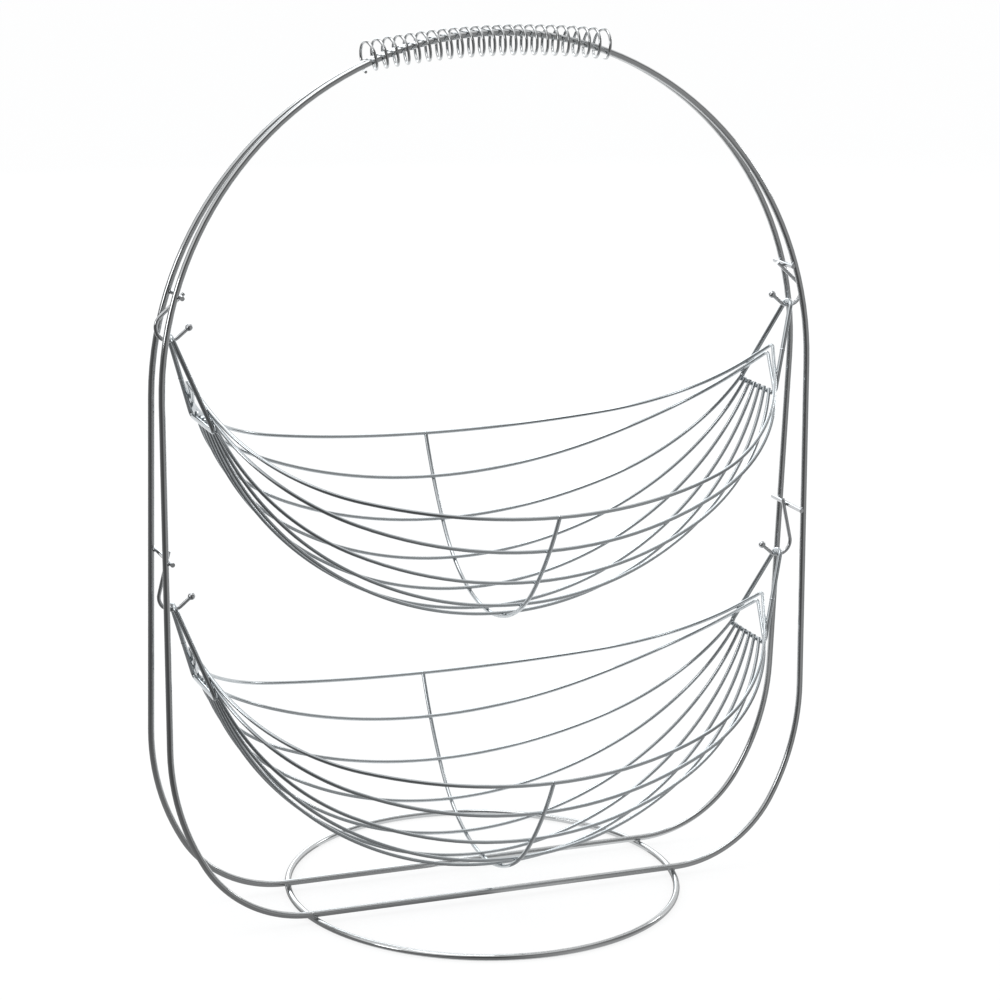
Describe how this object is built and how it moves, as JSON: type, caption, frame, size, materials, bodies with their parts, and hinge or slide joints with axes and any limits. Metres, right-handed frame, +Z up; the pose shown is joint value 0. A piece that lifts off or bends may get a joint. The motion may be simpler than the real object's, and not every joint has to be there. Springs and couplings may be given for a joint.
{
  "type": "tiered wire basket",
  "caption": "Free-standing fruit holder of chromed wire: leaning hoops on a ring foot, a spring-wrapped carrying arch and hammock-shaped baskets hung one over the other.",
  "frame": {"origin": "on the floor at the middle of the base ring, below the middle of the handle", "axes": "+X along the baskets to the right-hand hooks, +Y to the back hoop, +Z up"},
  "size_m": [0.381, 0.2258, 0.4891],
  "materials": {
    "hoop_chrome": "polished chrome plate on drawn steel wire",
    "spring_chrome": "chrome plate on coiled spring wire",
    "hook_chrome": "chrome plate on bent steel wire",
    "basket_chrome": "chrome plate on thin steel wire"
  },
  "bodies": {
    "frame": {"back_hoop": "hoop_chrome", "front_hoop": "hoop_chrome", "base_ring": "hoop_chrome", "handle_spring": "spring_chrome", "upper_bar_left": "hook_chrome", "upper_bar_right": "hook_chrome", "upper_hook_left": "hook_chrome", "upper_hook_right": "hook_chrome", "upper_ball_left": "hook_chrome", "upper_ball_right": "hook_chrome", "lower_bar_left": "hook_chrome", "lower_bar_right": "hook_chrome", "lower_hook_left": "hook_chrome", "lower_hook_right": "hook_chrome", "lower_ball_left": "hook_chrome", "lower_ball_right": "hook_chrome"},
    "upper_basket": {"upper_hanger_left": "basket_chrome", "upper_hanger_right": "basket_chrome", "upper_rim": "basket_chrome", "upper_second_wire": "basket_chrome", "upper_rib": "basket_chrome", "upper_long_wire_1": "basket_chrome", "upper_long_wire_2": "basket_chrome", "upper_long_wire_3": "basket_chrome", "upper_long_wire_4": "basket_chrome", "upper_long_wire_5": "basket_chrome", "upper_long_wire_6": "basket_chrome", "upper_long_wire_7": "basket_chrome"},
    "lower_basket": {"lower_hanger_left": "basket_chrome", "lower_hanger_right": "basket_chrome", "lower_rim": "basket_chrome", "lower_second_wire": "basket_chrome", "lower_rib": "basket_chrome", "lower_long_wire_1": "basket_chrome", "lower_long_wire_2": "basket_chrome", "lower_long_wire_3": "basket_chrome", "lower_long_wire_4": "basket_chrome", "lower_long_wire_5": "basket_chrome", "lower_long_wire_6": "basket_chrome", "lower_long_wire_7": "basket_chrome"}
  },
  "joints": [
    {"name": "upper_basket_swing", "type": "hinge", "parent": "frame", "child": "upper_basket", "pos_m": [0, 0, 0.3275], "axis": [1, 0, 0], "range_deg": [-30, 30]},
    {"name": "lower_basket_swing", "type": "hinge", "parent": "frame", "child": "lower_basket", "pos_m": [0, 0, 0.1805], "axis": [1, 0, 0], "range_deg": [-30, 30]}
  ]
}
